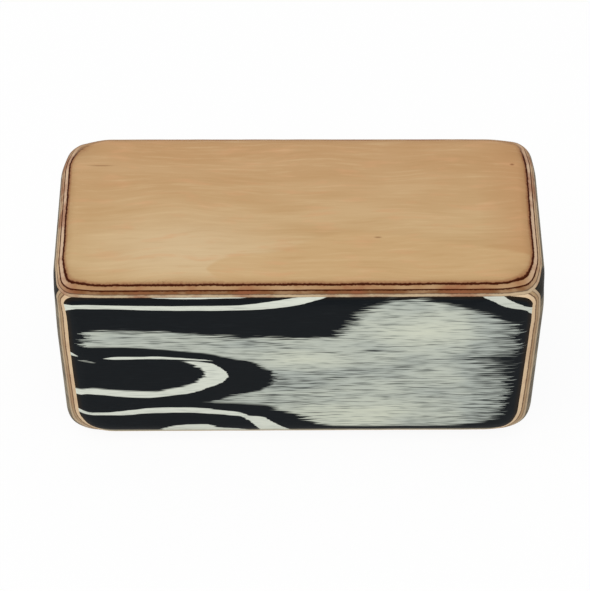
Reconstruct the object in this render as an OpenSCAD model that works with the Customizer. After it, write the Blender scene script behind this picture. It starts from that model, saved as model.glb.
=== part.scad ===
// Wooden box shaker: a sealed box of thin laminated boards with loose steel shot inside.
// The top and bottom boards lie over the walls, the front and back boards run the full
// length between them, and the end boards sit inside the front and back.
// The origin is the middle of the underside. X is the length, -Y is the front, Z is up.

/* [Box] */
// Length of the box, end to end
body_l = 120; // [90:1:180]
// Depth of the box, front to back
body_d = 54; // [44:1:80]
// Height of the box
body_h = 60; // [44:1:90]
// Radius of the sanded edges and corners
edge_r = 6; // [3:0.1:6.5]

/* [Boards] */
// Thickness of one ply
ply_t = 0.75; // [0.7:0.05:1.2]
// Thickness of the figured veneer on the front and back boards
veneer_t = 1; // [0.6:0.1:1.6]
// Thickness of each end board
end_t = 5; // [2.8:0.1:6]

/* [Shot] */
// Diameter of one ball of shot
shot_d = 4; // [2:0.5:4.5]
// Balls along the box in each group
shot_columns = 6; // [3:1:6]
// Balls front to back in each group
shot_rows = 3; // [2:1:5]
// Room between the rows of a group
shot_row_gap = 0.6; // [0.3:0.1:1.5]
// Room between the shot and the floor, and the walls at the ends of its travel
shot_clear = 0.2; // [0.1:0.05:0.5]

/* [Hidden] */
$fn = 64;

// The top and bottom boards are four plies, the walls a veneer on three plies.
lid_t = 4 * ply_t;
wall_t = veneer_t + 3 * ply_t;

// The sealed hollow inside the boards
hollow_l = body_l - 2 * end_t;
hollow_d = body_d - 2 * wall_t;
hollow_h = body_h - 2 * lid_t;

// How far a cutting block runs past the outside of the box
cut_past = 1;

// Three groups of balls share the length of the hollow.
lane_l = hollow_l / 3;
shot_column_pitch = lane_l / shot_columns;
shot_row_pitch = shot_d + shot_row_gap;

natural = "#c4a477";
pale_ply = "#cbb08c";
brown_ply = "#a17c58";
dark_veneer = "#3a3a38";
dark_board = "#2e2c29";
steel = "#9a9da1";

// The outside of the whole box, with every edge and corner rounded
module rounded_box() {
  flat_l = body_l - 2 * edge_r;
  flat_d = body_d - 2 * edge_r;
  flat_h = body_h - 2 * edge_r;
  translate([0, 0, body_h / 2]) {
    cube([body_l, flat_d, flat_h], center = true);
    cube([flat_l, body_d, flat_h], center = true);
    cube([flat_l, flat_d, body_h], center = true);
    for (a = [-1, 1], b = [-1, 1]) {
      translate([0, a * flat_d / 2, b * flat_h / 2])
        rotate([0, 90, 0])
          cylinder(r = edge_r, h = flat_l, center = true);
      translate([a * flat_l / 2, 0, b * flat_h / 2])
        rotate([90, 0, 0])
          cylinder(r = edge_r, h = flat_d, center = true);
      translate([a * flat_l / 2, b * flat_d / 2, 0])
        cylinder(r = edge_r, h = flat_h, center = true);
      for (c = [0, 1])
        mirror([0, 0, c])
          translate([a * flat_l / 2, b * flat_d / 2, -flat_h / 2])
            sphere(r = edge_r);
    }
  }
}

// What a block of the given corner and size leaves of the rounded box
module layer(corner, size) {
  intersection() {
    rounded_box();
    translate(corner) cube(size);
  }
}

// The block of an outermost layer runs past the face of the box.
function past(depth) = depth > 0 ? 0 : cut_past;

// One ply of the top board, counted from its outer face
module top_ply(number) {
  layer(
    [-body_l, -body_d, body_h - (number + 1) * ply_t],
    [2 * body_l, 2 * body_d, ply_t + past(number)]
  );
}

// One ply of the bottom board, counted from its outer face
module bottom_ply(number) {
  layer(
    [-body_l, -body_d, number * ply_t - past(number)],
    [2 * body_l, 2 * body_d, ply_t + past(number)]
  );
}

// A layer of the front board, at a depth below its outer face
module front_layer(depth, thickness) {
  layer(
    [-body_l, depth - body_d / 2 - past(depth), lid_t],
    [2 * body_l, thickness + past(depth), hollow_h]
  );
}

// A layer of the back board, at a depth below its outer face
module back_layer(depth, thickness) {
  layer(
    [-body_l, body_d / 2 - depth - thickness, lid_t],
    [2 * body_l, thickness + past(depth), hollow_h]
  );
}

// Balls of shot lying on the floor of the hollow, in one third of its length
module shot_group(lane) {
  first_x = (lane - 0.5) * lane_l + shot_column_pitch / 2;
  first_y = -(shot_rows - 1) * shot_row_pitch / 2;
  height = lid_t + shot_clear + shot_d / 2;
  for (column = [0 : shot_columns - 1], row = [0 : shot_rows - 1])
    translate([first_x + column * shot_column_pitch, first_y + row * shot_row_pitch, height])
      sphere(d = shot_d);
}

module top_face_ply() { color(natural) top_ply(0); }
module top_second_ply() { color(pale_ply) top_ply(1); }
module top_third_ply() { color(brown_ply) top_ply(2); }
module top_inner_ply() { color(pale_ply) top_ply(3); }

module bottom_face_ply() { color(natural) bottom_ply(0); }
module bottom_second_ply() { color(pale_ply) bottom_ply(1); }
module bottom_third_ply() { color(brown_ply) bottom_ply(2); }
module bottom_inner_ply() { color(pale_ply) bottom_ply(3); }

module front_veneer() { color(dark_veneer) front_layer(0, veneer_t); }
module front_outer_ply() { color(pale_ply) front_layer(veneer_t, ply_t); }
module front_core_ply() { color(brown_ply) front_layer(veneer_t + ply_t, ply_t); }
module front_inner_ply() { color(pale_ply) front_layer(veneer_t + 2 * ply_t, ply_t); }

module back_veneer() { color(dark_veneer) back_layer(0, veneer_t); }
module back_outer_ply() { color(pale_ply) back_layer(veneer_t, ply_t); }
module back_core_ply() { color(brown_ply) back_layer(veneer_t + ply_t, ply_t); }
module back_inner_ply() { color(pale_ply) back_layer(veneer_t + 2 * ply_t, ply_t); }

module left_end_board() {
  color(dark_board)
    layer([-body_l / 2 - cut_past, -hollow_d / 2, lid_t], [end_t + cut_past, hollow_d, hollow_h]);
}

module right_end_board() {
  color(dark_board)
    layer([hollow_l / 2, -hollow_d / 2, lid_t], [end_t + cut_past, hollow_d, hollow_h]);
}

module left_shot() { color(steel) shot_group(-1); }
module middle_shot() { color(steel) shot_group(0); }
module right_shot() { color(steel) shot_group(1); }

top_face_ply();
top_second_ply();
top_third_ply();
top_inner_ply();
bottom_face_ply();
bottom_second_ply();
bottom_third_ply();
bottom_inner_ply();
front_veneer();
front_outer_ply();
front_core_ply();
front_inner_ply();
back_veneer();
back_outer_ply();
back_core_ply();
back_inner_ply();
left_end_board();
right_end_board();
left_shot();
middle_shot();
right_shot();
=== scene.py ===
import math

import bpy
from bpy.props import FloatProperty, FloatVectorProperty, IntProperty, PointerProperty
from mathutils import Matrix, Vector


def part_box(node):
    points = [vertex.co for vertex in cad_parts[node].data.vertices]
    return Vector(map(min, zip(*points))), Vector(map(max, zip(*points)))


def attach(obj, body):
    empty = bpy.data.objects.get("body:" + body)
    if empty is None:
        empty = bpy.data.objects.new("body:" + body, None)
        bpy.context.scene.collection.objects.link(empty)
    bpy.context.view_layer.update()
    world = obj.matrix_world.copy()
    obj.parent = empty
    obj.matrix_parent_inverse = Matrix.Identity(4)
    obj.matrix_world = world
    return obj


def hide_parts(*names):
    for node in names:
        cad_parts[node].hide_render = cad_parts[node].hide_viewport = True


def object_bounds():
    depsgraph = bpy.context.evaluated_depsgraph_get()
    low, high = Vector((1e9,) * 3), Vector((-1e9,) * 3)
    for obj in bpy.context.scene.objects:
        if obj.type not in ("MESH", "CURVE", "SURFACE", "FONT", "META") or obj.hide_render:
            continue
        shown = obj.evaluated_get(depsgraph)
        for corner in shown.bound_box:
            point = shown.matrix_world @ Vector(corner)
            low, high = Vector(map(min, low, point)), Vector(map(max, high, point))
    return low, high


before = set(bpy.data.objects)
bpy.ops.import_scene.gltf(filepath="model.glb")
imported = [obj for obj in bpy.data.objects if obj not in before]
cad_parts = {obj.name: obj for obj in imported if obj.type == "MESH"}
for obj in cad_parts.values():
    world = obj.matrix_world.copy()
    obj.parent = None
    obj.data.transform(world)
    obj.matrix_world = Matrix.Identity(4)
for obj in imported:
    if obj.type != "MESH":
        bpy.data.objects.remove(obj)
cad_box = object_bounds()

bl_info = {
    "name": "Wooden Box Shaker",
    "version": (1, 0, 0),
    "blender": (4, 5, 0),
    "location": "3D View > Sidebar > Shaker",
    "description": "Dresses the boards and the shot of a wooden box shaker",
    "category": "Object",
}

MM = 0.001

# The box, from the frame
BOX_LOW, BOX_HIGH = (Vector(corner) for corner in cad_box)
BOX_SIZE = BOX_HIGH - BOX_LOW
BOX_MIDDLE = (BOX_LOW + BOX_HIGH) / 2
HALF_LENGTH_MM, HALF_DEPTH_MM, HALF_HEIGHT_MM = (extent / 2 / MM for extent in BOX_SIZE)
TOP_MM = 2 * HALF_HEIGHT_MM

# Thickness of a ply and of the figured veneer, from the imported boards
PLY_MM = (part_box("top_second_ply")[1].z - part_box("top_second_ply")[0].z) / MM
VENEER_MM = (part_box("front_outer_ply")[0].y - BOX_LOW.y) / MM

# Ranges that values come in: most of a noise, nearly all of a noise, and a share from one side to the other
MOST = {"From Min": 0.3, "From Max": 0.7}
NEARLY_ALL = {"From Min": 0.25, "From Max": 0.75}
SIDE_TO_SIDE = {"From Min": -1.0, "From Max": 1.0}

# How far a layer's block runs past the outside of the box
BLOCK_OVERRUN = 5 * MM
# Length of the waves that hand sanding leaves along the edges
WOBBLE_WAVE = 9 * MM
# How suddenly the swell of the upright edges, which grows upwards, ends at the top
SWELL_POWER = 8.0
# Angles past which an edge of the mesh is shown sharp
BOARD_SHARP = math.radians(20)
SHOT_SHARP = math.radians(60)
# Faces round a ball of shot and from pole to pole
BALL_SEGMENTS = 24
BALL_RINGS = 14

# How far a glue line strays from its place
GLUE_STRAY_MM = 0.05
# Where the lids' outer dark lines start to fade and have faded, in from the back, and what is left of them
FADE_START_MM = 9
FADE_END_MM = 4
FADE_LEFT = 0.2
# Width of the rim in which a ply shows stain and glue, how softly it ends, and how bare the wood is past it
RIM_MM = 8
RIM_SOFT_MM = 2
RIM_BARE = 0.85
# Reach of a soft spot into the wood, so deep that it hardly fades within a board
SPOT_DEPTH_MM = 90
# How much the strands of the shoulder cover, and how far up its soft border a pale stripe starts
FEATHER_SHARE = 0.7
STRIPE_START = 0.6

# Half the width of the floor in metres, and its gap below the box, so that the two faces do not flicker
FLOOR_REACH = 3.0
FLOOR_GAP = 0.05 * MM
# How much of the paper is plain white where it is seen, which leaves it a share of its shadow
PAPER_WHITE = 0.93
# Strength of the light from all round, and the lamp's place and size in metres and its power in watts
ROOM_LIGHT = 0.78
LAMP_PLACE = Vector((-0.2, -0.35, 0.9))
LAMP_SIZE = 0.8
LAMP_POWER = 3.2
# The camera's sensor in millimetres, and its aim, a little left of, before and below the middle of the box
SENSOR_WIDTH = 36
CAMERA_AIM = BOX_MIDDLE + Vector((-0.95, -1.46, -1.26)) * MM


def linear(hex_colour):
    """The linear colour of an sRGB hex value."""
    parts = [int(hex_colour[i:i + 2], 16) / 255 for i in (1, 3, 5)]
    return tuple(p / 12.92 if p <= 0.04045 else ((p + 0.055) / 1.055) ** 2.4 for p in parts)


def node(tree, kind, inputs=None, **settings):
    """A new node of a tree, with its settings, and its inputs linked or set.

    An input takes a plain value, another node's socket, or another node for its first output.
    """
    made = tree.nodes.new(kind)
    for key, value in settings.items():
        setattr(made, key, value)
    for key, value in (inputs or {}).items():
        socket = made.inputs[key]
        if isinstance(value, bpy.types.Node):
            tree.links.new(value.outputs[0], socket)
        elif isinstance(value, bpy.types.NodeSocket):
            tree.links.new(value, socket)
        elif socket.type == "RGBA":
            socket.default_value = (*value[:3], 1)
        else:
            socket.default_value = value
    return made


class ShakerShape(bpy.types.PropertyGroup):
    """Sizes of the sanded box and of its mesh, the count of the shot, and the place of the camera."""
    front_top_edge: FloatProperty(
        name="Front Top Edge", description="Rounding of the edges that meet at the front of the top",
        default=5.7 * MM, min=0, unit="LENGTH")
    back_top_edge: FloatProperty(
        name="Back Top Edge", description="Rounding of the edges that meet at the back of the top",
        default=5.3 * MM, min=0, unit="LENGTH")
    front_low_edge: FloatProperty(
        name="Front Low Edge", description="Rounding of the edges that meet at the front of the underside",
        default=7.8 * MM, min=0, unit="LENGTH")
    back_low_edge: FloatProperty(
        name="Back Low Edge", description="Rounding of the edges that meet at the back of the underside",
        default=7.6 * MM, min=0, unit="LENGTH")
    side_edge: FloatProperty(
        name="Side Difference", description="How much rounder the edges are on the right than in the middle",
        default=0.23 * MM, unit="LENGTH")
    upright_swell: FloatProperty(
        name="Upright Swell", description="How much rounder the upright edges are below the top",
        default=0.9 * MM, unit="LENGTH")
    front_tips: FloatVectorProperty(
        name="Front Tips", description="What sanding took off the left and right front tips of the top",
        default=(1.0 * MM, 1.8 * MM), size=2, unit="LENGTH")
    back_tips: FloatVectorProperty(
        name="Back Tips", description="What sanding took off the left and right back tips",
        default=(2.05 * MM, 1.15 * MM), size=2, unit="LENGTH")
    low_tips: FloatVectorProperty(
        name="Low Tips", description="What sanding took off the left and right front tips of the underside",
        default=(3.1 * MM, 2.2 * MM), size=2, unit="LENGTH")
    tip_reach: FloatProperty(
        name="Tip Reach", description="How far along the edges the sanding of a tip is felt",
        default=12.5 * MM, min=0, unit="LENGTH")
    tip_drop: FloatProperty(
        name="Tip Drop", description="How far down from the top the sanding of a tip is felt",
        default=24 * MM, min=0, unit="LENGTH")
    right_tip_drop: FloatProperty(
        name="Right Tip Drop", description="How far down the sanding of the right front tip is felt",
        default=14 * MM, min=0, unit="LENGTH")
    tip_slant: FloatProperty(
        name="Tip Slant", description="How much the front of a tip is sanded, as a share of its end",
        default=0.3, min=0, max=1, subtype="FACTOR")
    tip_depth: FloatProperty(
        name="Tip Depth", description="How far in from the front the sanding of a low tip is felt",
        default=4.35 * MM, min=0, unit="LENGTH")
    edge_wobble: FloatProperty(
        name="Edge Wobble", description="Unevenness of the hand-sanded edges",
        default=0.12 * MM, min=0, unit="LENGTH")
    edge_cells: IntProperty(
        name="Edge Cells", description="Mesh cells across half of a rounded edge",
        default=12, min=2)
    flat_cell: FloatProperty(
        name="Flat Cell", description="Size of the mesh cells on the flat sides",
        default=1.3 * MM, min=0, unit="LENGTH")
    shot_columns: IntProperty(
        name="Shot Columns", description="Balls along the box in each group of shot",
        default=6, min=1)
    shot_rows: IntProperty(
        name="Shot Rows", description="Balls front to back in each group of shot",
        default=3, min=1)
    camera_distance: FloatProperty(
        name="Camera Distance", description="From the middle of the box to the camera",
        default=596.5 * MM, min=0, unit="LENGTH")
    camera_lens: FloatProperty(
        name="Camera Lens", description="Focal length of the camera in millimetres",
        default=141.6, min=1)
    camera_elevation: FloatProperty(
        name="Camera Elevation", description="Height angle of the camera",
        default=math.radians(49.22), unit="ROTATION")
    camera_azimuth: FloatProperty(
        name="Camera Azimuth", description="Side angle of the camera",
        default=math.radians(-0.334), unit="ROTATION")


class ShakerColours(bpy.types.PropertyGroup):
    """Main colours of the finishes."""
    face_light: FloatVectorProperty(
        name="Face Light", description="Lighter wood of the natural faces",
        default=linear("#c8ab80"), subtype="COLOR")
    face_dark: FloatVectorProperty(
        name="Face Dark", description="Darker wood of the natural faces",
        default=linear("#bc9a6d"), subtype="COLOR")
    pale_ply: FloatVectorProperty(
        name="Pale Ply", description="Long grain of the lids' second plies",
        default=linear("#ab8560"), subtype="COLOR")
    brown_ply: FloatVectorProperty(
        name="Brown Ply", description="End grain of the lids' third plies",
        default=linear("#7e5535"), subtype="COLOR")
    glue: FloatVectorProperty(
        name="Glue Line", description="Dark glue between the plies",
        default=linear("#3d1200"), subtype="COLOR")
    figure_dark: FloatVectorProperty(
        name="Figure Dark", description="Dyed black wood of the figured veneer",
        default=linear("#0c1115"), subtype="COLOR")
    figure_light: FloatVectorProperty(
        name="Figure Light", description="Undyed wood of the figured veneer",
        default=linear("#d8dccf"), subtype="COLOR")
    steel: FloatVectorProperty(
        name="Steel", description="Polished steel of the shot",
        default=linear("#b6b8ba"), subtype="COLOR")


def start_finish(name):
    """A new material, its tree, and the place on the part in millimetres as a vector and as x, y and z."""
    material = bpy.data.materials.new(name)
    material.use_nodes = True
    tree = material.node_tree
    tree.nodes.clear()
    place = node(tree, "ShaderNodeTexCoord").outputs["Object"]
    place = node(tree, "ShaderNodeVectorMath", {0: place, "Scale": 1 / MM}, operation="SCALE")
    axes = node(tree, "ShaderNodeSeparateXYZ", {0: place}).outputs
    return material, tree, place, axes


def end_finish(tree, colour, texture, height_mm, smoothest, roughest, **surface):
    """Closes a material with its colour, a texture that gives it relief and roughness, and plain numbers."""
    relief = node(tree, "ShaderNodeBump", {"Height": texture, "Distance": height_mm * MM})
    rough = node(tree, "ShaderNodeMapRange", {
        "Value": texture, **MOST, "To Min": smoothest, "To Max": roughest})
    shader = node(tree, "ShaderNodeBsdfPrincipled", {
        "Base Color": colour, "Normal": relief, "Roughness": rough, **surface})
    node(tree, "ShaderNodeOutputMaterial", {"Surface": shader})


def grain(tree, place, sizes_mm, detail=3.0, roughness=0.55):
    """Wood grain as a value from 0 to 1, with its length, depth and height in millimetres."""
    scale = [1 / size for size in sizes_mm]
    scaled = node(tree, "ShaderNodeVectorMath", {0: place, 1: scale}, operation="MULTIPLY")
    return node(tree, "ShaderNodeTexNoise", {
        "Vector": scaled, "Scale": 1.0, "Detail": detail, "Roughness": roughness})


def stain(tree, colour, other, value, start, full, strength=1.0):
    """A colour with another one laid over it, from none at the start of a value to all at its full end."""
    amount = node(tree, "ShaderNodeMapRange", {
        "Value": value, "From Min": start, "From Max": full, "To Max": strength})
    return node(tree, "ShaderNodeMix", {0: amount, 6: colour, 7: other}, data_type="RGBA").outputs[2]


def soft_spot(tree, place, middle_mm, reach_mm):
    """From 1 in the middle of a soft round spot to 0 at its reach."""
    away = node(tree, "ShaderNodeVectorMath", {0: place, 1: middle_mm}, operation="SUBTRACT")
    away = node(tree, "ShaderNodeVectorMath", {0: away, 1: reach_mm}, operation="DIVIDE")
    away = node(tree, "ShaderNodeVectorMath", {0: away}, operation="LENGTH").outputs["Value"]
    return node(tree, "ShaderNodeMapRange", {"Value": away, "To Min": 1.0, "To Max": 0.0},
                interpolation_type="SMOOTHSTEP")


def figure_band(tree, along, across, low, high, soft_mm):
    """How far a place is inside a band of a wood's figure, from 0 to 1.

    The band runs between a lower and an upper line, each a few points in millimetres along and across.
    A line goes on level past its ends, and where a band closes, its two lines cross.
    """
    span = 2 * HALF_LENGTH_MM
    shares = []
    for value in (along, across):
        share = node(tree, "ShaderNodeMath", {0: value, 1: 1 / span, 2: 0.5}, operation="MULTIPLY_ADD")
        shares.append(share)
    lines = []
    for points in (low, high):
        line = node(tree, "ShaderNodeFloatCurve", {"Value": shares[0]})
        line.mapping.extend = "HORIZONTAL"
        curve = line.mapping.curves[0]
        while len(curve.points) < len(points):
            curve.points.new(0.5, 0.5)
        for point, (x, y) in zip(curve.points, points):
            point.location = (x / span + 0.5, y / span + 0.5)
            point.handle_type = "AUTO_CLAMPED"
        line.mapping.update()
        lines.append(line)
    over = node(tree, "ShaderNodeMath", {0: shares[1], 1: lines[0]}, operation="SUBTRACT")
    under = node(tree, "ShaderNodeMath", {0: lines[1], 1: shares[1]}, operation="SUBTRACT")
    inside = node(tree, "ShaderNodeMath", {0: over, 1: under}, operation="MINIMUM")
    soft = soft_mm / span
    return node(tree, "ShaderNodeMapRange", {"Value": inside, "From Min": -soft, "From Max": soft},
                interpolation_type="SMOOTHSTEP")


def board_depth(tree, axes, lid):
    """Depth in millimetres below the nearest outer face of a lid or of a wall."""
    across, middle, half = (axes[2], HALF_HEIGHT_MM, HALF_HEIGHT_MM) if lid else (axes[1], 0.0, HALF_DEPTH_MM)
    off = node(tree, "ShaderNodeMath", {0: across, 1: middle}, operation="SUBTRACT")
    off = node(tree, "ShaderNodeMath", {0: off}, operation="ABSOLUTE")
    return node(tree, "ShaderNodeMath", {0: half, 1: off}, operation="SUBTRACT")


def uneven_depth(tree, place, axes, lid):
    """The board depth, shaken by long waves and by single fibres, so that a glue line is not ruled."""
    depth = board_depth(tree, axes, lid)
    for wave_mm, detail in ((5, 4), (0.7, 1)):
        shake = grain(tree, place, (wave_mm, wave_mm, wave_mm), detail=detail)
        shake = node(tree, "ShaderNodeMapRange", {
            "Value": shake, **NEARLY_ALL, "To Min": -GLUE_STRAY_MM, "To Max": GLUE_STRAY_MM})
        depth = node(tree, "ShaderNodeMath", {0: depth, 1: shake}, operation="ADD")
    return depth


def back_fade(tree, axes, strength):
    """Strength of one of the lids' outer dark lines, which are lost in the thin rim at the back."""
    return node(tree, "ShaderNodeMapRange", {
        "Value": axes[1], "From Min": HALF_DEPTH_MM - FADE_START_MM, "From Max": HALF_DEPTH_MM - FADE_END_MM,
        "To Min": strength, "To Max": FADE_LEFT * strength})


# The flame of darker early wood on the faces: its lower and its upper line as length and depth in millimetres
FACE_FLAME = (
    ((-24, -16), (-21.5, -21), (-12, -26), (60, -27)),
    ((-24, -22), (-21.5, -18.5), (-16.5, -15.6), (-6, -14.4), (2, -11), (14, -8), (30, -10), (60, -16)))
# Small dark flecks of the faces: their middles, their reaches and their strengths
FACE_FLECKS = (
    ((19.3, -9.6), (1.4, 0.4), 0.6),
    ((53.6, 14.9), (0.8, 0.5), 0.7),
    ((-49.5, 14.8), (4.5, 0.35), 0.5))


def make_face_finish(colours):
    """Rotary-cut hardwood face veneer, sanded and clear oiled: warm, satin, with long soft streaks."""
    material, tree, place, axes = start_finish("Oiled hardwood face veneer")
    # The grain wanders a little, so the streaks are not ruled.
    wander_mm = 4.0
    wander = grain(tree, place, (34, 16, 16), detail=1)
    wander = node(tree, "ShaderNodeMapRange", {"Value": wander, "To Min": -wander_mm, "To Max": wander_mm})
    wander = node(tree, "ShaderNodeCombineXYZ", {1: wander})
    bent = node(tree, "ShaderNodeVectorMath", {0: place, 1: wander}, operation="ADD")
    tone = grain(tree, bent, (40, 9, 9), detail=2)
    streaks = grain(tree, bent, (12, 0.9, 0.9), detail=4, roughness=0.6)
    flush = grain(tree, bent, (10, 2.4, 2.4), detail=2)
    colour = stain(tree, colours.face_light[:], colours.face_dark[:], tone, 0.35, 0.65)
    # The back and the right of the face are a little redder, and the front left is the palest.
    colour = stain(tree, colour, linear("#ba9066"), axes[1], -14, 24, 0.75)
    colour = stain(tree, colour, linear("#b98d62"), axes[0], HALF_LENGTH_MM - 16, HALF_LENGTH_MM - 5, 0.75)
    pale = soft_spot(tree, place, (-27, -13, TOP_MM), (34, 17, SPOT_DEPTH_MM))
    colour = stain(tree, colour, linear("#d0b791"), pale, 0, 1, 0.75)
    flame = figure_band(tree, axes[0], axes[1], *FACE_FLAME, 0.7)
    colour = stain(tree, colour, linear("#c4a275"), flame, 0, 1, 0.75)
    colour = stain(tree, colour, linear("#cc9d73"), flush, 0.54, 0.72, 0.46)
    colour = stain(tree, colour, linear("#a98152"), streaks, 0.52, 0.8, 0.3)
    colour = stain(tree, colour, linear("#d9be93"), streaks, 0.46, 0.25, 0.3)
    for middle, reach, strength in FACE_FLECKS:
        fleck = soft_spot(tree, place, (*middle, TOP_MM), (*reach, SPOT_DEPTH_MM))
        colour = stain(tree, colour, linear("#7c4d2c"), fleck, 0, 0.8, strength)
    # Sanding thins the face to nothing at its rim. Painted shade darkens it softly over the rounded edge, and
    # nearer the line oil and then the glue darken it.
    even_depth = board_depth(tree, axes, True)
    depth = uneven_depth(tree, place, axes, True)
    for other, below, start, full, strength in (
            # Painted shade over the rounded rim, from the outside down to most of a ply's depth
            (linear("#8f6c45"), even_depth, 0, 0.7, 0.38),
            (linear("#84492d"), depth, 0.5, 0.95, 0.8),
            (colours.glue[:], depth, 0.84, 0.94, 0.95)):
        shown = back_fade(tree, axes, strength)
        colour = stain(tree, colour, other, below, start * PLY_MM, full * PLY_MM, shown)
    # Glue that came through the rim in specks, at the front left
    specks = grain(tree, place, (0.6, 0.4, 0.4), detail=2)
    specks = node(tree, "ShaderNodeMapRange", {"Value": specks, "From Min": 0.55, "From Max": 0.65})
    bleed = soft_spot(tree, place, (-33, -HALF_DEPTH_MM, TOP_MM), (24, 5.5, 20))
    bleed = node(tree, "ShaderNodeMath", {0: bleed, 1: specks}, operation="MULTIPLY")
    colour = stain(tree, colour, colours.glue[:], bleed, 0.1, 0.6, 0.7)
    end_finish(tree, colour, streaks, 0.02, 0.44, 0.56, **{"Specular IOR Level": 0.06})
    return material


# Glue lines at the border of a ply: half their width and their soft border in millimetres, and their strength
NO_GLUE = (0.0, 0.0, 0.0)
FIRST_LID_GLUE = (0.15, 0.1, 1.0)
SECOND_LID_GLUE = (0.22, 0.08, 0.95)
THIRD_LID_GLUE = (0.15, 0.1, 0.72)
LID_TO_WALL_GLUE = (0.0, 0.12, 0.7)
FIRST_WALL_GLUE = (0.08, 0.08, 0.75)
SECOND_WALL_GLUE = (0.06, 0.08, 0.5)


def make_ply_finish(name, colours, base, ends, lid, outer_mm, outer_glue, inner_glue):
    """Sanded edge of a plywood layer: matt, blotched by stain, and dark where glue borders it.

    It has a base colour on the long edges and another one at the short ends. The ply's outer face lies
    outer_mm below the outside of its lid or wall.
    """
    material, tree, place, axes = start_finish(name)
    side = node(tree, "ShaderNodeMath", {0: axes[0]}, operation="ABSOLUTE")
    colour = stain(tree, base, ends, side, HALF_LENGTH_MM - 6, HALF_LENGTH_MM - 2)
    patches = grain(tree, place, (9, 6, 6), detail=3)
    # The edges of the lids took up more of the stain than those of the walls.
    colour = stain(tree, colour, linear("#92583d"), patches, 0.47, 0.62, 0.65 if lid else 0.2)
    colour = stain(tree, colour, linear("#cdb08a"), patches, 0.47, 0.32, 0.4 if lid else 0.2)
    depth = uneven_depth(tree, place, axes, lid)
    for edge, inward, (half_width, soft, strength) in (
            (outer_mm, 1, outer_glue), (outer_mm + PLY_MM, -1, inner_glue)):
        if strength:
            # The two outermost lines of a lid fade at the back.
            shown = back_fade(tree, axes, strength) if lid and edge < 2.5 * PLY_MM else strength
            start = edge + inward * (half_width + soft)
            colour = stain(tree, colour, colours.glue[:], depth, start, edge + inward * half_width, shown)
    # Stain and glue show only at the sanded rim, and the faces inside the box are bare wood.
    from_rim = node(tree, "ShaderNodeMath", {0: axes[1]}, operation="ABSOLUTE")
    from_rim = node(tree, "ShaderNodeMath", {0: HALF_DEPTH_MM, 1: from_rim}, operation="SUBTRACT")
    from_end = node(tree, "ShaderNodeMath", {0: HALF_LENGTH_MM, 1: side}, operation="SUBTRACT")
    from_rim = node(tree, "ShaderNodeMath", {0: from_rim, 1: from_end}, operation="MINIMUM")
    colour = stain(tree, colour, base, from_rim, RIM_MM, RIM_MM + RIM_SOFT_MM, RIM_BARE)
    pores = grain(tree, place, (0.6, 0.6, 0.3), detail=1)
    end_finish(tree, colour, pores, 0.02, 0.54, 0.66, **{"Specular IOR Level": 0.03})
    return material


# The bands of the front figure, each with its lower and its upper line as length and height in millimetres.
# The broad brushed patch, and the dark tongue that runs into it
PATCH = (
    ((-53.4, 44), (-52.6, 30), (-52, 17.2), (-22, 17), (-12, 16.2), (-7.3, 15.4), (-5.3, 13.8),
     (-0.7, 12.2), (1.2, 10.4), (3.6, 8.8), (8, 7.2), (15.6, 7), (38, 7.1), (44.8, 8.2), (49.3, 9.8),
     (50.5, 12), (51.2, 16), (51.8, 25), (53.4, 34)),
    ((-53.4, 40), (-52.6, 44.9), (-46, 45.2), (-34, 44.9), (-25, 43.9), (-14, 42.8), (-4, 42.4),
     (8, 42.5), (10.5, 43.4), (12.4, 46), (14.2, 48.6), (15.8, 50.4), (17.4, 52.2), (19.2, 54.2),
     (22, 55.6), (28, 56.1), (34.9, 55.4), (39.8, 53.6), (44.8, 51.4), (49.7, 49.2), (52.8, 47.4),
     (53.3, 43), (53.4, 32)))
TONGUE = (
    ((-60, 12), (-26, 16.6), (-21.7, 17.6), (-18.6, 18.9), (-14.3, 20.5), (-9.5, 22.2), (-7.2, 23.8),
     (-6.5, 25.4), (-6, 28)),
    ((-60, 39), (-46.5, 39.1), (-35, 38.3), (-29, 37.4), (-23, 36.5), (-17.7, 34.9), (-12.2, 33.2),
     (-8.4, 30.4), (-6.4, 28.4), (-6, 26.5)))
# The thin strands that feather the left shoulder of the patch
SHOULDER = (
    ((8, 47), (9.5, 43), (12, 41), (24, 41), (30, 60)),
    ((8, 40), (9.5, 43.5), (11, 47), (13, 50.5), (15.5, 53), (19, 55), (23, 55.8), (30, 44)))
# Soft spots where the patch is thicker or thinner: their middles, their reaches and how much thinner
PATCH_SPOTS = (
    ((32, 46), (22, 9), -0.17),
    ((14, 12), (24, 9), -0.19),
    ((0, 34), (18, 5), -0.2),
    ((52, 32), (18, 10), 0.26),
    ((50, 12), (14, 8), 0.12),
    ((-5, 26), (16, 6), 0.12))
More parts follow.
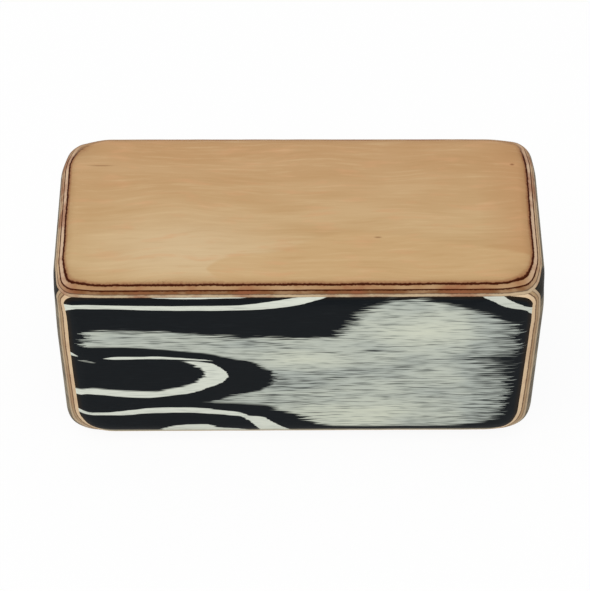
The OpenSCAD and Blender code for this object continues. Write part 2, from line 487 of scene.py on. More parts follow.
# The stripes over them in order: how pale they are, with 0 for a dark one, and how brushed they are
STRIPES = (
    (1.0, 0.0,
     ((-60, 49.5), (-57, 51.6), (-55.4, 53), (-53.9, 53.5), (-48, 53.6), (-36, 53.1), (-24, 52.9),
      (-16.7, 53), (-9.5, 53.3), (-0.6, 54.8), (4.5, 56.3), (8, 57.4), (12, 59)),
     ((-60, 53), (-57, 54.4), (-55.5, 54.9), (-50, 55.1), (-43, 54.9), (-30, 54.7), (-20, 54.8),
      (-14.5, 55), (-9, 55.7), (-4.6, 56.4), (-1, 57), (12, 58))),
    (1.0, 0.0,
     ((-38, 58), (-36, 57), (-32, 56.7), (-24, 56.6), (-18, 56.7), (-12, 57), (-10, 58)),
     ((-38, 57.9), (-10, 57.9))),
    (0.85, 0.0,
     ((42.5, 58), (44, 57), (47, 55.6), (49.2, 54.3), (51.4, 53.4), (54.6, 52.5), (56, 50.8), (60, 46)),
     ((42.5, 57.9), (48, 57.6), (51, 55.9), (54.3, 54.2), (56.2, 53), (60, 50.2))),
    (1.0, 0.05,
     ((-60, 18.5), (-55, 19.8), (-53.3, 20.4), (-50, 20.1), (-43.6, 19.2), (-38.5, 18.9), (-30.7, 20.1),
      (-26.7, 21), (-21.8, 23.5), (-19, 25.4), (-17.6, 27.6), (-17.2, 29)),
     ((-60, 33.5), (-28, 33.6), (-22.3, 33), (-20.4, 31.8), (-18.5, 29.8), (-17.6, 27.8), (-17.2, 26))),
    (0.0, 0.3,
     ((-60, 21), (-54.8, 22.2), (-52.3, 22.9), (-48.8, 22.4), (-43.5, 21.8), (-36, 21.4), (-33.4, 22.2),
      (-28.4, 23.8), (-25.3, 25.9), (-23.6, 28), (-22.8, 29.5)),
     ((-60, 34), (-29, 33.9), (-27.8, 33.4), (-25.6, 31.6), (-23.8, 29.8), (-22.8, 28))),
    (1.0, 0.05,
     ((-51, 35.2), (-48.8, 34.6), (-45.6, 34.2), (-37, 34.4), (-31, 34.2), (-24.6, 33.8), (-21.6, 33.6),
      (-19.5, 34.2)),
     ((-51, 34), (-48.8, 34.7), (-45, 35.4), (-37, 35.5), (-30.7, 35.1), (-24.6, 34.4), (-21.6, 33.8),
      (-19.5, 33))),
    (1.0, 0.1,
     ((-60, 12.6), (-55.5, 12.1), (-53.6, 11.9), (-51.3, 11.7), (-47.3, 11.7), (-44, 11.8), (-37, 12.6),
      (-30, 12.7), (-23, 12.3), (-16.8, 11.5), (-14.8, 11.1), (-12.8, 9.3), (-10.8, 6.7), (-8.5, 3), (4, 2)),
     ((-60, 14), (-55.6, 13.6), (-53.7, 13.2), (-50, 13), (-44, 13.8), (-37, 14.9), (-30, 15.1), (-25, 14.9),
      (-18.8, 13.7), (-14.8, 12.9), (-13, 11.8), (-9, 10.9), (-7.5, 9.5), (-3.4, 6.2), (0, 3), (4, 0))),
    (1.0, 0.3,
     ((-38, 6.4), (-36, 5), (-34, 3), (-14, 3), (-11, 5)),
     ((-38, 5), (-36, 5.6), (-34, 6.8), (-31, 7.7), (-23, 8.1), (-22, 7.2), (-19, 6.4), (-14, 5.6),
      (-11, 4))),
    (1.0, 0.0,
     ((-60, 34.2), (-56, 35), (-54.8, 35.3), (-54, 35.8)),
     ((-60, 36.8), (-56.5, 36.2), (-55, 35.7), (-54, 34.6))),
    (0.45, 0.3,
     ((-55.5, 34.3), (-54, 33.6), (-52, 33), (-50.3, 32.8), (-49.5, 33)),
     ((-55.5, 33.5), (-54, 34.2), (-52, 33.9), (-50.3, 33), (-49.5, 32))),
)


def make_figured_finish(colours, name, turned):
    """Dyed and reconstituted decorative veneer: black wood with pale flames, brushed along the grain."""
    material, tree, place, axes = start_finish(name)
    if turned:
        place = node(tree, "ShaderNodeVectorMath", {0: place, 1: (-1, 1, 1)}, operation="MULTIPLY")
        axes = node(tree, "ShaderNodeSeparateXYZ", {0: place}).outputs
    # Real fibres are finer than the render's pixels, so they are drawn coarser: short dashes, long strands.
    fibres = grain(tree, place, (5, 40, 0.28), detail=1)
    strands = grain(tree, place, (16, 40, 0.32), detail=2)
    fibre_shake, strand_shake = (
        node(tree, "ShaderNodeMapRange", {"Value": source, **NEARLY_ALL, "To Min": -1.0, "To Max": 1.0})
        for source in (fibres, strands))

    def band(low, high, brushed, soft_mm):
        """A band of the figure, with its ends brushed out along the grain."""
        along_mm = 0.15 + 3.0 * brushed
        across_mm = 0.06 + 0.3 * brushed
        along, across = (
            node(tree, "ShaderNodeMath", {0: shake, 1: amount, 2: axis}, operation="MULTIPLY_ADD")
            for shake, amount, axis in ((strand_shake, along_mm, axes[0]), (fibre_shake, across_mm, axes[2])))
        return figure_band(tree, along, across, low, high, soft_mm)

    def darkened(pale, amount):
        """What a dark amount leaves of a pale one."""
        kept = node(tree, "ShaderNodeMath", {0: 1.0, 1: amount}, operation="SUBTRACT")
        return node(tree, "ShaderNodeMath", {0: pale, 1: kept}, operation="MULTIPLY")

    patch = darkened(band(*PATCH, 1.0, 0.9), band(*TONGUE, 0.6, 0.5))
    feathers = band(*SHOULDER, 1.2, 1.6)
    feathers = node(tree, "ShaderNodeMath", {0: feathers, 1: FEATHER_SHARE}, operation="MULTIPLY")
    patch = node(tree, "ShaderNodeMath", {0: patch, 1: feathers}, operation="MAXIMUM")
    # The patch is thin where dark fibres show through it, most of all at its right end.
    thin = grain(tree, place, (16, 40, 5), detail=2)
    thin = node(tree, "ShaderNodeMapRange", {"Value": thin, **MOST, "To Min": 0.24, "To Max": 0.38})
    worn = node(tree, "ShaderNodeMapRange", {
        "Value": axes[0], "From Min": 40.0, "From Max": 55.0, "To Max": 0.3})
    thin = node(tree, "ShaderNodeMath", {0: thin, 1: worn}, operation="ADD")
    for (x, z), (reach_x, reach_z), amount in PATCH_SPOTS:
        spot = soft_spot(tree, place, (x, -HALF_DEPTH_MM, z), (reach_x, SPOT_DEPTH_MM, reach_z))
        thin = node(tree, "ShaderNodeMath", {0: spot, 1: amount, 2: thin}, operation="MULTIPLY_ADD")
    cover = darkened(patch, thin)
    # Dark gaps between the fibres, which follow the short ones more than the long ones
    gaps = node(tree, "ShaderNodeMath", {0: fibres, 1: 0.6}, operation="MULTIPLY")
    gaps = node(tree, "ShaderNodeMath", {0: strands, 1: 0.4, 2: gaps}, operation="MULTIPLY_ADD")
    gaps = node(tree, "ShaderNodeMapRange", {"Value": gaps, **MOST})
    pale = node(tree, "ShaderNodeMath", {0: cover, 1: gaps}, operation="SUBTRACT")
    pale = node(tree, "ShaderNodeMapRange", {"Value": pale, "From Min": -0.36, "From Max": 0.24})
    covered = node(tree, "ShaderNodeMapRange", {"Value": cover, "From Max": 0.3})
    pale = node(tree, "ShaderNodeMath", {0: pale, 1: covered}, operation="MULTIPLY")
    for shade, brushed, low, high in STRIPES:
        stripe = band(low, high, brushed, 0.14 + brushed)
        if shade:
            stripe = node(tree, "ShaderNodeMapRange", {
                "Value": stripe, "From Min": STRIPE_START, "To Max": shade})
            pale = node(tree, "ShaderNodeMath", {0: pale, 1: stripe}, operation="MAXIMUM")
        else:
            pale = darkened(pale, stripe)
    # The thick parts of the patch are yellower than the stripes, and its thin parts are greyer.
    undyed_wood = stain(tree, colours.figure_light[:], linear("#d7dac6"), covered, 0, 1)
    greyed = node(tree, "ShaderNodeMath", {0: thin, 1: covered}, operation="MULTIPLY")
    undyed_wood = stain(tree, undyed_wood, linear("#a6aeaa"), greyed, 0.03, 0.38, 0.8)
    undyed_wood = stain(tree, undyed_wood, linear("#9aa199"), fibres, 0.5, 0.75, 0.5)
    dyed_wood = stain(tree, colours.figure_dark[:], linear("#1d2124"), fibres, 0.5, 0.8, 0.6)
    # Where sanding cuts through it, the dyed veneer turns brown.
    depth = board_depth(tree, axes, False)
    dyed_wood = stain(tree, dyed_wood, linear("#2a1d0c"), depth, 0.4 * VENEER_MM, 0.95 * VENEER_MM, 0.8)
    colour = stain(tree, dyed_wood, undyed_wood, pale, 0, 1)
    # At the bottom it is sanded so thin that the ply under it shows.
    colour = stain(tree, colour, linear("#b3aa90"), axes[2], 5.6, 4.4, 0.9)
    end_finish(tree, colour, fibres, 0.015, 0.54, 0.66, **{"Specular IOR Level": 0.08})
    return material


# Black flames of the end boards, the first widest at the front top corner, each with its lower and its upper
# line as depth and height in millimetres
END_FLAMES = (
    (((-27, 53), (-20, 52), (-10, 48.4), (4, 45.6), (16, 45), (21, 45.4)),
     ((-27, 60), (-19, 59.5), (-15.5, 55.4), (-8, 51.6), (4, 48), (16, 46), (21, 45))),
    (((-15, 31.2), (-4, 30.4), (10, 31.6), (27, 34.6)),
     ((-15, 31), (-4, 32.4), (10, 35), (27, 38.4))),
    (((-12, 21.4), (0, 17.8), (14, 14), (27, 8)),
     ((-12, 21), (0, 21.6), (14, 20.4), (27, 17))),
)


def make_end_finish():
    """Smoked end boards: matt olive brown wood, brushed along the grain, with a few black flames, one running
    back from the front top corner.
    """
    material, tree, place, axes = start_finish("Smoked end wood")
    bands = grain(tree, place, (40, 30, 5), detail=2)
    fibres = grain(tree, place, (40, 7, 0.35), detail=2)
    colour = stain(tree, linear("#5c5240"), linear("#7d715a"), bands, 0.4, 0.6)
    colour = stain(tree, colour, linear("#3a3226"), fibres, 0.5, 0.75, 0.7)
    colour = stain(tree, colour, linear("#94886f"), fibres, 0.48, 0.28, 0.6)
    # The fibres shake the ends of the flames by this much to each side.
    shake_mm = 3.0
    along = node(tree, "ShaderNodeMath", {0: fibres, 1: 2 * shake_mm, 2: axes[1]}, operation="MULTIPLY_ADD")
    along = node(tree, "ShaderNodeMath", {0: along, 1: shake_mm}, operation="SUBTRACT")
    for low, high in END_FLAMES:
        flame = figure_band(tree, along, axes[2], low, high, 0.25)
        colour = stain(tree, colour, linear("#120e06"), flame, 0, 1, 0.95)
    end_finish(tree, colour, fibres, 0.03, 0.54, 0.66, **{"Specular IOR Level": 0.15})
    return material


def make_steel_finish(colours):
    """Polished bearing steel: bright, with a faint tumbled haze."""
    material, tree, place, _ = start_finish("Polished steel shot")
    haze = grain(tree, place, (1.5, 1.5, 1.5))
    colour = stain(tree, colours.steel[:], linear("#94979a"), haze, 0.4, 0.7)
    end_finish(tree, colour, haze, 0.002, 0.2, 0.3, Metallic=1.0)
    return material


def new_tree(name, sockets):
    """A geometry tree and its inputs, made from their titles and kinds."""
    tree = bpy.data.node_groups.new(name, "GeometryNodeTree")
    for title, kind in sockets:
        tree.interface.new_socket(title, in_out="INPUT", socket_type="NodeSocket" + kind)
    tree.interface.new_socket("Geometry", in_out="OUTPUT", socket_type="NodeSocketGeometry")
    return tree, node(tree, "NodeGroupInput").outputs


def close_tree(tree, geometry, material):
    """Ends a geometry tree in real geometry with its material."""
    real = node(tree, "GeometryNodeRealizeInstances", {0: geometry})
    painted = node(tree, "GeometryNodeSetMaterial", {"Geometry": real, "Material": material})
    node(tree, "NodeGroupOutput", {0: painted})


# The properties that shape the sanded outside: those with one size, and those with a left and a right one
SANDING = (
    "front_top_edge", "back_top_edge", "front_low_edge", "back_low_edge", "side_edge", "upright_swell",
    "edge_wobble", "tip_reach", "tip_drop", "right_tip_drop", "tip_slant", "tip_depth")
SANDED_TIPS = ("front_tips", "back_tips", "low_tips")


def sanding_sizes(shape):
    """The sizes of the sanding, each under its property's title, which is also its input's in the tree."""
    titles = shape.bl_rna.properties
    sizes = {titles[name].name: getattr(shape, name) for name in SANDING}
    for name in SANDED_TIPS:
        sizes[titles[name].name + " Left"], sizes[titles[name].name + " Right"] = getattr(shape, name)
    return sizes


def bend_cells(tree, size):
    """A grid of cells on a cube, and how its points lie on a rounded box.

    Cells in the middle of a side stay flat, and the outer cells turn through 45 degrees on each side of an
    edge. The vectors are each point's share of the way from the middle to the end of the flat part, its share
    of the way round an edge, and the way that it faces there.
    """
    counts = node(tree, "ShaderNodeVectorMath", {0: size["Cells"], 1: (1, 1, 1)}, operation="ADD")
    counts = node(tree, "ShaderNodeSeparateXYZ", {0: counts}).outputs
    cube = node(tree, "GeometryNodeMeshCube", {
        "Size": size["Cells"], "Vertices X": counts[0], "Vertices Y": counts[1], "Vertices Z": counts[2]})
    cell = node(tree, "GeometryNodeInputPosition")
    side = node(tree, "ShaderNodeVectorMath", {0: cell}, operation="SIGN")
    reach = node(tree, "ShaderNodeVectorMath", {0: cell}, operation="ABSOLUTE")
    edge = node(tree, "ShaderNodeCombineXYZ", {axis: size["Edge Cells"] for axis in range(3)})
    flat = node(tree, "ShaderNodeVectorMath", {0: size["Cells"], "Scale": 0.5}, operation="SCALE")
    flat = node(tree, "ShaderNodeVectorMath", {0: flat, 1: edge}, operation="SUBTRACT")
    inner = node(tree, "ShaderNodeVectorMath", {0: reach, 1: flat}, operation="MINIMUM")
    over = node(tree, "ShaderNodeVectorMath", {0: reach, 1: inner}, operation="SUBTRACT")
    inner = node(tree, "ShaderNodeVectorMath", {0: inner, 1: flat}, operation="DIVIDE")
    inner = node(tree, "ShaderNodeVectorMath", {0: inner, 1: side}, operation="MULTIPLY")
    over = node(tree, "ShaderNodeVectorMath", {0: over, 1: edge}, operation="DIVIDE")
    turn = node(tree, "ShaderNodeVectorMath", {0: over, "Scale": math.pi / 4}, operation="SCALE")
    turn = node(tree, "ShaderNodeVectorMath", {0: turn}, operation="TANGENT")
    turn = node(tree, "ShaderNodeVectorMath", {0: turn, 1: side}, operation="MULTIPLY")
    turn = node(tree, "ShaderNodeVectorMath", {0: turn}, operation="NORMALIZE")
    return cube, inner, over, turn


def blend(tree, first, second, sizes):
    """A size out of four at the ends of two shares: two along the first, at each end of the second."""
    ends = [
        node(tree, "ShaderNodeMapRange", {"Value": first, **SIDE_TO_SIDE, "To Min": low, "To Max": high})
        for low, high in sizes]
    return node(tree, "ShaderNodeMapRange", {
        "Value": second, **SIDE_TO_SIDE, "To Min": ends[0], "To Max": ends[1]})


def edge_radius(tree, size, share):
    """The radius of the edges, which changes over the box and swells along the upright ones."""
    radius = blend(tree, share[1], share[2], (
        (size["Front Low Edge"], size["Back Low Edge"]), (size["Front Top Edge"], size["Back Top Edge"])))
    radius = node(tree, "ShaderNodeMath", {0: size["Side Difference"], 1: share[0], 2: radius},
                  operation="MULTIPLY_ADD")
    swell = node(tree, "ShaderNodeMapRange", {
        "Value": share[2], **SIDE_TO_SIDE, "To Max": size["Upright Swell"]})
    ends = node(tree, "ShaderNodeMath", {0: share[2], 1: SWELL_POWER}, operation="POWER")
    between = node(tree, "ShaderNodeMath", {0: 1.0, 1: ends}, operation="SUBTRACT")
    return node(tree, "ShaderNodeMath", {0: swell, 1: between, 2: radius}, operation="MULTIPLY_ADD")


def tip_loss(tree, tip, half_test, share, insets, reaches):
    """What sanding takes off near the tips of one half, and nothing where the reach along an axis ends."""
    nearness = 1.0
    for distance, reach in zip(insets, reaches):
        fade = node(tree, "ShaderNodeMapRange", {
            "Value": distance, "From Max": reach, "To Min": 1.0, "To Max": 0.0},
            interpolation_type="SMOOTHSTEP")
        nearness = node(tree, "ShaderNodeMath", {0: nearness, 1: fade}, operation="MULTIPLY")
    in_half = node(tree, "ShaderNodeMath", {0: share[2], 1: 0.0}, operation=half_test)
    tip = node(tree, "ShaderNodeMath", {0: tip, 1: in_half}, operation="MULTIPLY")
    return node(tree, "ShaderNodeMath", {0: tip, 1: nearness}, operation="MULTIPLY")


def sanded_off(tree, size, half, place, share, over, turn):
    """What hand sanding takes off a place of the rounded box: more at the tips, and unevenly at the edges."""
    inset = node(tree, "ShaderNodeVectorMath", {0: place}, operation="ABSOLUTE")
    inset = node(tree, "ShaderNodeVectorMath", {0: half, 1: inset}, operation="SUBTRACT")
    insets = node(tree, "ShaderNodeSeparateXYZ", {0: inset}).outputs
    reach = size["Tip Reach"]
    back_tips = (size["Back Tips Left"], size["Back Tips Right"])
    # The front tips of the top are sanded more from the ends than from the front.
    tip = blend(tree, share[0], share[1], ((size["Front Tips Left"], size["Front Tips Right"]), back_tips))
    drop = blend(tree, share[0], share[1], (
        (size["Tip Drop"], size["Right Tip Drop"]), (size["Tip Drop"], size["Tip Drop"])))
    loss = tip_loss(tree, tip, "GREATER_THAN", share, insets, (reach, reach, drop))
    slant = node(tree, "ShaderNodeMapRange", {
        "Value": share[1], **SIDE_TO_SIDE, "To Min": size["Tip Slant"], "To Max": 1.0})
    way = node(tree, "ShaderNodeCombineXYZ", {0: 1.0, 1: slant, 2: 1.0})
    way = node(tree, "ShaderNodeVectorMath", {0: turn, 1: way}, operation="MULTIPLY")
    upper = node(tree, "ShaderNodeVectorMath", {0: way, "Scale": loss}, operation="SCALE")
    # The sanding of the low tips is felt only near the front and near the back.
    tip = blend(tree, share[0], share[1], ((size["Low Tips Left"], size["Low Tips Right"]), back_tips))
    loss = tip_loss(tree, tip, "LESS_THAN", share, insets, (reach, size["Tip Depth"], reach))
    # The wobble is felt only round the edges, so the flat sides stay flat.
    edges = node(tree, "ShaderNodeVectorMath", {0: over, 1: (1, 1, 1)}, operation="DOT_PRODUCT")
    edges = node(tree, "ShaderNodeMapRange", {
        "Value": edges.outputs["Value"], "From Min": 1.0, "From Max": 1.5})
    wobble = node(tree, "ShaderNodeTexNoise", {"Vector": place, "Scale": 1 / WOBBLE_WAVE, "Detail": 2.0})
    wobble = node(tree, "ShaderNodeMath", {0: wobble, 1: size["Edge Wobble"]}, operation="MULTIPLY")
    loss = node(tree, "ShaderNodeMath", {0: wobble, 1: edges, 2: loss}, operation="MULTIPLY_ADD")
    lower = node(tree, "ShaderNodeVectorMath", {0: turn, "Scale": loss}, operation="SCALE")
    return node(tree, "ShaderNodeVectorMath", {0: lower, 1: upper}, operation="ADD")


def make_board_tree(sanding):
    """Tree of one layer of the box: the sanded outside of the whole box, cut by the layer's own block."""
    tree, size = new_tree("Sanded board layer", (
        ("Box Size", "Vector"), ("Cells", "Vector"), ("Edge Cells", "Float"),
        *((title, "Float") for title in sanding),
        ("Block Low", "Vector"), ("Block High", "Vector"), ("Finish", "Material")))
    cube, inner, over, turn = bend_cells(tree, size)
    share = node(tree, "ShaderNodeSeparateXYZ", {0: inner}).outputs
    radius = edge_radius(tree, size, share)
    half = node(tree, "ShaderNodeVectorMath", {0: size["Box Size"], "Scale": 0.5}, operation="SCALE")
    core = node(tree, "ShaderNodeCombineXYZ", {axis: radius for axis in range(3)})
    core = node(tree, "ShaderNodeVectorMath", {0: half, 1: core}, operation="SUBTRACT")
    core = node(tree, "ShaderNodeVectorMath", {0: core, 1: inner}, operation="MULTIPLY")
    place = node(tree, "ShaderNodeVectorMath", {0: turn, "Scale": radius}, operation="SCALE")
    place = node(tree, "ShaderNodeVectorMath", {0: core, 1: place}, operation="ADD")
    taken = sanded_off(tree, size, half, place, share, over, turn)
    place = node(tree, "ShaderNodeVectorMath", {0: place, 1: taken}, operation="SUBTRACT")
    lift = node(tree, "ShaderNodeVectorMath", {0: half, 1: (0, 0, 1)}, operation="MULTIPLY")
    place = node(tree, "ShaderNodeVectorMath", {0: place, 1: lift}, operation="ADD")
    outside = node(tree, "GeometryNodeSetPosition", {"Geometry": cube, "Position": place})

    corners = {0: size["Block High"], 1: size["Block Low"]}
    span = node(tree, "ShaderNodeVectorMath", corners, operation="SUBTRACT")
    middle = node(tree, "ShaderNodeVectorMath", corners, operation="ADD")
    middle = node(tree, "ShaderNodeVectorMath", {0: middle, "Scale": 0.5}, operation="SCALE")
    block = node(tree, "GeometryNodeMeshCube", {"Size": span})
    block = node(tree, "GeometryNodeTransform", {0: block, "Translation": middle})
    layer = node(tree, "GeometryNodeMeshBoolean", {1: outside}, operation="INTERSECT", solver="MANIFOLD")
    tree.links.new(block.outputs[0], layer.inputs[1])
    close_tree(tree, layer, size["Finish"])
    return tree


def make_shot_tree():
    """Tree of one group of shot: a grid of points with a ball on each."""
    tree, size = new_tree("Shot group", (
        ("Grid Size", "Vector"), ("Columns", "Int"), ("Rows", "Int"), ("Ball Radius", "Float"),
        ("Middle", "Vector"), ("Finish", "Material")))
    spread = node(tree, "ShaderNodeSeparateXYZ", {0: size["Grid Size"]}).outputs
    grid = node(tree, "GeometryNodeMeshGrid", {
        "Size X": spread[0], "Size Y": spread[1], "Vertices X": size["Columns"], "Vertices Y": size["Rows"]})
    grid = node(tree, "GeometryNodeTransform", {0: grid, "Translation": size["Middle"]})
    ball = node(tree, "GeometryNodeMeshUVSphere", {
        "Segments": BALL_SEGMENTS, "Rings": BALL_RINGS, "Radius": size["Ball Radius"]})
    balls = node(tree, "GeometryNodeInstanceOnPoints", {"Points": grid, "Instance": ball})
    close_tree(tree, balls, size["Finish"])
    return tree


def finished_piece(name, tree, values, sharp_angle):
    """A plain mesh made by a geometry tree with the given values, in place and with its material."""
    piece = bpy.data.objects.new(name, bpy.data.meshes.new(name + "_start"))
    bpy.context.scene.collection.objects.link(piece)
    builder = piece.modifiers.new("Build", "NODES")
    builder.node_group = tree
    for item in tree.interface.items_tree:
        if item.in_out == "INPUT":
            builder[item.identifier] = values[item.name]
    made = piece.evaluated_get(bpy.context.evaluated_depsgraph_get())
    mesh = bpy.data.meshes.new_from_object(made)
    if not mesh.polygons:
        raise RuntimeError(name + " came out empty")
    piece.modifiers.clear()
    piece.data = mesh
    mesh.name = name
    mesh.shade_smooth()
    mesh.set_sharp_from_angle(angle=sharp_angle)
    return piece


def make_layer(node_name, finish, outside):
    """The finished layer that stands for one packed board layer, past whose outside sides its block runs."""
    shape = bpy.context.scene.shaker_shape
    sanding = sanding_sizes(shape)
    tree = bpy.data.node_groups.get("Sanded board layer") or make_board_tree(sanding)
    low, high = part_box(node_name)
    for axis, side in outside:
        number = "xyz".index(axis)
        if side == "-":
            low[number] = BOX_LOW[number] - BLOCK_OVERRUN
        else:
            high[number] = BOX_HIGH[number] + BLOCK_OVERRUN
    cells = [
        2 * round((extent - 2 * shape.front_low_edge) / shape.flat_cell / 2) + 2 * shape.edge_cells
        for extent in BOX_SIZE]
    piece = finished_piece("finished_" + node_name, tree, {
        "Box Size": BOX_SIZE, "Cells": cells, "Edge Cells": float(shape.edge_cells), **sanding,
        "Block Low": low, "Block High": high, "Finish": finish}, BOARD_SHARP)
    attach(piece, "box")
    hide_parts(node_name)
    return piece


class SHAKER_OT_lid_boards(bpy.types.Operator):
    """Dress the four plies of the top board and of the bottom board"""
    bl_idname = "shaker.lid_boards"
    bl_label = "Top and Bottom Boards"

    def execute(self, context):
        colours = context.scene.shaker_colours
        second = make_ply_finish(
            "Pale lid ply edge", colours, colours.pale_ply[:], linear("#cdb094"), True,
            PLY_MM, FIRST_LID_GLUE, NO_GLUE)
        third = make_ply_finish(
            "Brown lid ply edge", colours, colours.brown_ply[:], linear("#bd9f7d"), True,
            2 * PLY_MM, SECOND_LID_GLUE, NO_GLUE)
        inner = make_ply_finish(
            "Inner lid ply edge", colours, linear("#bba688"), linear("#c0a88a"), True,
            3 * PLY_MM, THIRD_LID_GLUE, LID_TO_WALL_GLUE)
        plies = (
            ("face", make_face_finish(colours), "natural_face"),
            ("second", second, "pale_ply"),
            ("third", third, "brown_ply"),
            ("inner", inner, "pale_ply"))
        for lid, outer in (("top", "z+"), ("bottom", "z-")):
            for ply, finish, slot in plies:
                sides = ["x-", "x+", "y-", "y+"] + ([outer] if ply == "face" else [])
                make_layer(f"{lid}_{ply}_ply", finish, sides)
        return {"FINISHED"}


class SHAKER_OT_wall_boards(bpy.types.Operator):
    """Dress the figured veneers and the plies of the front board and of the back board"""
    bl_idname = "shaker.wall_boards"
    bl_label = "Front and Back Boards"

    def execute(self, context):
        colours = context.scene.shaker_colours
        outer = make_ply_finish(
            "Pale wall ply edge", colours, linear("#dcc2a0"), linear("#d6b995"), False,
            VENEER_MM, NO_GLUE, FIRST_WALL_GLUE)
        core = make_ply_finish(
            "Brown wall ply edge", colours, linear("#ae9472"), linear("#a98d6c"), False,
            VENEER_MM + PLY_MM, FIRST_WALL_GLUE, SECOND_WALL_GLUE)
        inner = make_ply_finish(
            "Inner wall ply edge", colours, linear("#bfab8f"), linear("#b8a284"), False,
            VENEER_MM + 2 * PLY_MM, SECOND_WALL_GLUE, NO_GLUE)
        plies = (("outer", outer, "pale_ply"), ("core", core, "brown_ply"), ("inner", inner, "pale_ply"))
        for wall, outside in (("front", "y-"), ("back", "y+")):
            veneer = make_figured_finish(colours, wall.capitalize() + " figured veneer", wall == "back")
            make_layer(f"{wall}_veneer", veneer, ["x-", "x+", outside])
            for ply, finish, slot in plies:
                make_layer(f"{wall}_{ply}_ply", finish, ["x-", "x+"])
        return {"FINISHED"}


class SHAKER_OT_end_boards(bpy.types.Operator):
    """Dress the two smoked end boards"""
    bl_idname = "shaker.end_boards"
    bl_label = "End Boards"

    def execute(self, context):
        finish = make_end_finish()
        make_layer("left_end_board", finish, ["x-"])
        make_layer("right_end_board", finish, ["x+"])
        return {"FINISHED"}


class SHAKER_OT_shot(bpy.types.Operator):
    """Dress the three groups of steel shot sealed in the box"""
    bl_idname = "shaker.shot"
    bl_label = "Shot"

    def execute(self, context):
        shape = context.scene.shaker_shape
        finish = make_steel_finish(context.scene.shaker_colours)
        tree = make_shot_tree()
        for group in ("left", "middle", "right"):
            low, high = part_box(group + "_shot")
            ball = high.z - low.z
            piece = finished_piece(f"finished_{group}_shot", tree, {
                "Grid Size": (high.x - low.x - ball, high.y - low.y - ball, 0), "Columns": shape.shot_columns,
                "Rows": shape.shot_rows, "Ball Radius": ball / 2, "Middle": (low + high) / 2,
                "Finish": finish}, SHOT_SHARP)
            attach(piece, group + "_shot_group")
            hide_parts(group + "_shot")
        return {"FINISHED"}


def make_paper():
    """Matt white studio paper: plain white where it is seen, with a share of the shadow that falls on it."""
    material = bpy.data.materials.new("White studio paper")
    material.use_nodes = True
    tree = material.node_tree
    tree.nodes.clear()
    path = node(tree, "ShaderNodeLightPath").outputs
    seen = path["Is Camera Ray"]
    for ray in ("Is Glossy Ray", "Is Transmission Ray"):
        seen = node(tree, "ShaderNodeMath", {0: seen, 1: path[ray]}, operation="MAXIMUM")
    seen = node(tree, "ShaderNodeMath", {0: seen, 1: PAPER_WHITE}, operation="MULTIPLY")
    paper = node(tree, "ShaderNodeBsdfDiffuse", {"Color": linear("#f8f8f8")})
    white = node(tree, "ShaderNodeEmission", {"Color": (1, 1, 1), "Strength": 1.0})
    mixed = node(tree, "ShaderNodeMixShader", {0: seen, 1: paper, 2: white})
    node(tree, "ShaderNodeOutputMaterial", {0: mixed})
    return material


def make_floor(scene):
    """A square sheet of white paper below the box."""
    mesh = bpy.data.meshes.new("studio_floor")
    height = BOX_LOW.z - FLOOR_GAP
    corners = ((-1, -1), (1, -1), (1, 1), (-1, 1))
    mesh.from_pydata([(x * FLOOR_REACH, y * FLOOR_REACH, height) for x, y in corners], [], [(0, 1, 2, 3)])
    mesh.materials.append(make_paper())
    floor = bpy.data.objects.new("studio_floor", mesh)
    scene.collection.objects.link(floor)


def make_room(scene):
    """Soft light from all round, with a plain white backdrop."""
    world = bpy.data.worlds.new("Soft white room")
    world.use_nodes = True
    tree = world.node_tree
    tree.nodes.clear()
    seen = node(tree, "ShaderNodeLightPath").outputs["Is Camera Ray"]
    room = node(tree, "ShaderNodeBackground", {"Color": (1, 1, 1), "Strength": ROOM_LIGHT})
    backdrop = node(tree, "ShaderNodeBackground", {"Color": (1, 1, 1), "Strength": 1.0})
    mixed = node(tree, "ShaderNodeMixShader", {0: seen, 1: room, 2: backdrop})
    node(tree, "ShaderNodeOutputWorld", {0: mixed})
    scene.world = world


def make_lamp(scene):
    """A soft lamp above and in front of the box."""
    lamp = bpy.data.lights.new("Soft overhead", "AREA")
    lamp.size = LAMP_SIZE
    lamp.energy = LAMP_POWER
    lamp_object = bpy.data.objects.new("Soft overhead", lamp)
    lamp_object.location = LAMP_PLACE
    lamp_object.rotation_euler = (BOX_MIDDLE - LAMP_PLACE).to_track_quat("-Z", "Y").to_euler()
    scene.collection.objects.link(lamp_object)


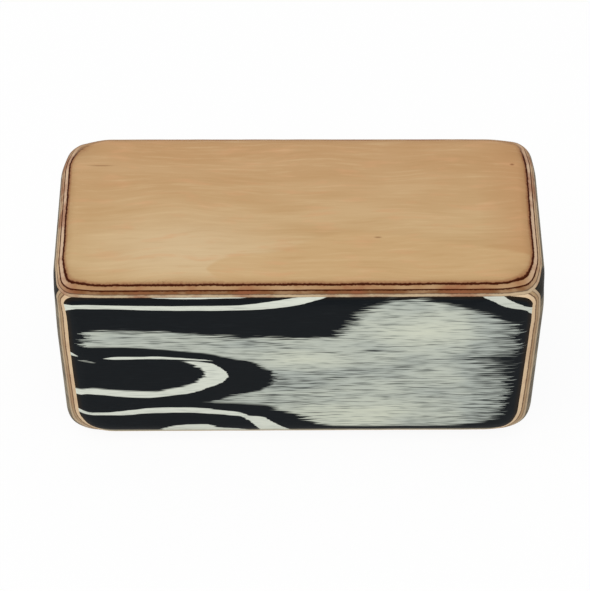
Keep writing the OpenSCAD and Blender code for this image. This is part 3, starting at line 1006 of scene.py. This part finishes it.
def make_camera(scene):
    """The camera at the photograph's viewing angle."""
    shape = scene.shaker_shape
    camera = bpy.data.cameras.new("Photo view")
    camera.lens = shape.camera_lens
    camera.sensor_width = SENSOR_WIDTH
    camera_object = bpy.data.objects.new("Photo view", camera)
    elevation, azimuth = shape.camera_elevation, shape.camera_azimuth
    level = math.cos(elevation)
    away = Vector((math.sin(azimuth) * level, -math.cos(azimuth) * level, math.sin(elevation)))
    camera_object.location = BOX_MIDDLE + away * shape.camera_distance
    camera_object.rotation_euler = (CAMERA_AIM - camera_object.location).to_track_quat("-Z", "Y").to_euler()
    scene.collection.objects.link(camera_object)
    scene.camera = camera_object


class SHAKER_OT_stage(bpy.types.Operator):
    """Set up the white floor, the soft light and the camera"""
    bl_idname = "shaker.stage"
    bl_label = "Stage"

    def execute(self, context):
        context.scene.view_settings.view_transform = "Standard"
        make_floor(context.scene)
        make_room(context.scene)
        make_lamp(context.scene)
        make_camera(context.scene)
        return {"FINISHED"}


class SHAKER_PT_panel(bpy.types.Panel):
    """Sidebar panel with the steps that dress the shaker"""
    bl_idname = "SHAKER_PT_panel"
    bl_label = "Box Shaker"
    bl_space_type = "VIEW_3D"
    bl_region_type = "UI"
    bl_category = "Shaker"

    def draw(self, context):
        for operator in OPERATORS:
            self.layout.operator(operator.bl_idname)
        for group in (context.scene.shaker_shape, context.scene.shaker_colours):
            for name in group.__annotations__:
                self.layout.prop(group, name)


OPERATORS = (
    SHAKER_OT_lid_boards, SHAKER_OT_wall_boards, SHAKER_OT_end_boards, SHAKER_OT_shot, SHAKER_OT_stage)
CLASSES = (ShakerShape, ShakerColours, *OPERATORS, SHAKER_PT_panel)


def register():
    for cls in CLASSES:
        bpy.utils.register_class(cls)
    bpy.types.Scene.shaker_shape = PointerProperty(type=ShakerShape)
    bpy.types.Scene.shaker_colours = PointerProperty(type=ShakerColours)


def unregister():
    del bpy.types.Scene.shaker_colours
    del bpy.types.Scene.shaker_shape
    for cls in reversed(CLASSES):
        bpy.utils.unregister_class(cls)


def main():
    register()
    bpy.ops.shaker.lid_boards()
    bpy.ops.shaker.wall_boards()
    bpy.ops.shaker.end_boards()
    bpy.ops.shaker.shot()
    bpy.ops.shaker.stage()


if __name__ == "__main__":
    main()
